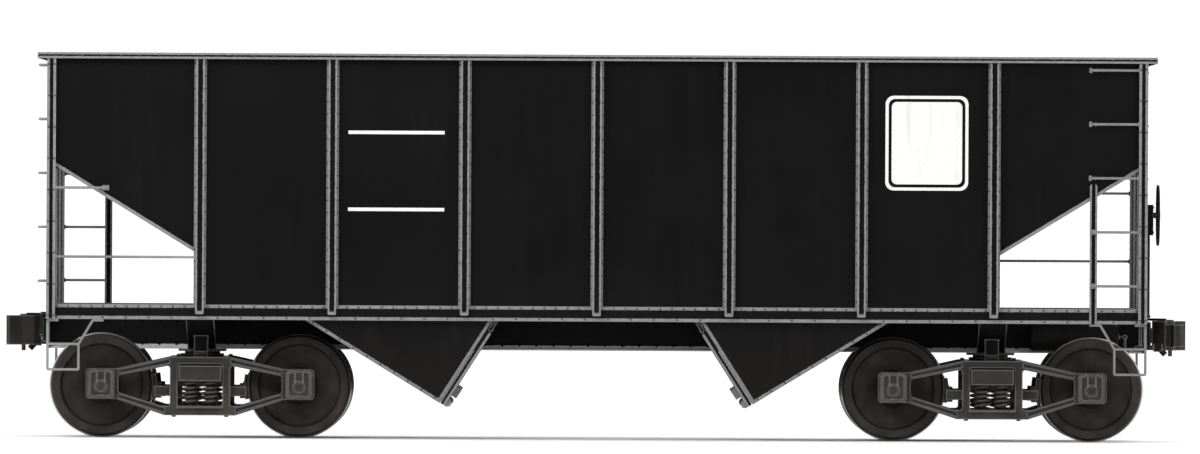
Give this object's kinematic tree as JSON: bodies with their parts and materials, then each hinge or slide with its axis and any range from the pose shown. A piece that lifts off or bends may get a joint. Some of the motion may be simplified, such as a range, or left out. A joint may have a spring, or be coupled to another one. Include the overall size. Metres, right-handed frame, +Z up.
{
  "type": "open hopper wagon",
  "caption": "Open-topped rail wagon with sloping floors, steel sides on outside posts, under-floor hopper doors, swivelling trucks and couplers.",
  "frame": {"origin": "under the middle of the wagon, at the height of the wheel flange tips", "axes": "+X along the wagon towards the hand brake end, +Y across it, +Z up"},
  "size_m": [10.0368, 2.9588, 3.2554],
  "materials": {
    "body_paint": "deep black enamel, softly glossy",
    "inner_steel": "dark paint scoured by loads",
    "frame_paint": "black frame paint, matt",
    "door_paint": "black paint, matt",
    "iron_paint": "black paint, worn where hands and feet go",
    "cast_steel": "dark cast surface",
    "wheel_steel": "dark plate with a bright tread",
    "axle_steel": "dark forged steel",
    "spring_steel": "dark spring steel",
    "marking_paint": "white marking paint"
  },
  "bodies": {
    "car_body": {"air_reservoir": "frame_paint", "bolster_saddles": "frame_paint", "bolsters": "frame_paint", "brake_cylinder": "frame_paint", "brake_pipe": "frame_paint", "centre_plates": "frame_paint", "centre_sill": "frame_paint", "chute_sides": "inner_steel", "corner_posts": "body_paint", "couplers": "cast_steel", "crossbearer": "frame_paint", "door_hinges": "door_paint", "end_chords": "body_paint", "end_ladders": "iron_paint", "end_posts": "body_paint", "end_sheets": "inner_steel", "end_sills": "body_paint", "grab_irons": "iron_paint", "hand_brake": "iron_paint", "knuckles": "cast_steel", "ridge_sheets": "inner_steel", "side_chords": "body_paint", "side_ladders": "iron_paint", "side_posts_left": "body_paint", "side_posts_right": "body_paint", "side_sheets_left": "body_paint", "side_sheets_right": "body_paint", "side_sills": "body_paint", "sill_hoods": "inner_steel", "slope_sheets_a": "inner_steel", "slope_sheets_b": "inner_steel", "stirrups": "iron_paint", "strikers": "cast_steel", "uncoupling_rods": "iron_paint"},
    "truck_a": {"side_frames_a": "cast_steel", "truck_bolster_a": "cast_steel", "springs_a": "spring_steel", "brake_beams_a": "cast_steel"},
    "wheelset_a1": {"axle_a1": "axle_steel", "wheels_a1": "wheel_steel"},
    "wheelset_a2": {"axle_a2": "axle_steel", "wheels_a2": "wheel_steel"},
    "doors_a": {"doors_a": "door_paint"},
    "truck_b": {"side_frames_b": "cast_steel", "truck_bolster_b": "cast_steel", "springs_b": "spring_steel", "brake_beams_b": "cast_steel"},
    "wheelset_b1": {"axle_b1": "axle_steel", "wheels_b1": "wheel_steel"},
    "wheelset_b2": {"axle_b2": "axle_steel", "wheels_b2": "wheel_steel"},
    "doors_b": {"doors_b": "door_paint"}
  },
  "joints": [
    {"name": "truck_a_swivel", "type": "hinge", "parent": "car_body", "child": "truck_a", "pos_m": [-3.3528, 0, 0.6854], "axis": [0, 0, 1], "range_deg": [-5, 5]},
    {"name": "wheelset_a1_spin", "type": "hinge", "parent": "truck_a", "child": "wheelset_a1", "pos_m": [-4.1908, 0, 0.4444], "axis": [0, 1, 0], "continuous": true},
    {"name": "wheelset_a2_spin", "type": "hinge", "parent": "truck_a", "child": "wheelset_a2", "pos_m": [-2.5148, 0, 0.4444], "axis": [0, 1, 0], "continuous": true},
    {"name": "doors_a_swing", "type": "hinge", "parent": "car_body", "child": "doors_a", "pos_m": [-0.89431, 0, 0.9301], "axis": [0, -1, 0], "range_deg": [0, 60]},
    {"name": "truck_b_swivel", "type": "hinge", "parent": "car_body", "child": "truck_b", "pos_m": [3.3528, 0, 0.6854], "axis": [0, 0, 1], "range_deg": [-5, 5]},
    {"name": "wheelset_b1_spin", "type": "hinge", "parent": "truck_b", "child": "wheelset_b1", "pos_m": [2.5148, 0, 0.4444], "axis": [0, 1, 0], "continuous": true},
    {"name": "wheelset_b2_spin", "type": "hinge", "parent": "truck_b", "child": "wheelset_b2", "pos_m": [4.1908, 0, 0.4444], "axis": [0, 1, 0], "continuous": true},
    {"name": "doors_b_swing", "type": "hinge", "parent": "car_body", "child": "doors_b", "pos_m": [0.89431, 0, 0.9301], "axis": [0, 1, 0], "range_deg": [0, 60]}
  ]
}
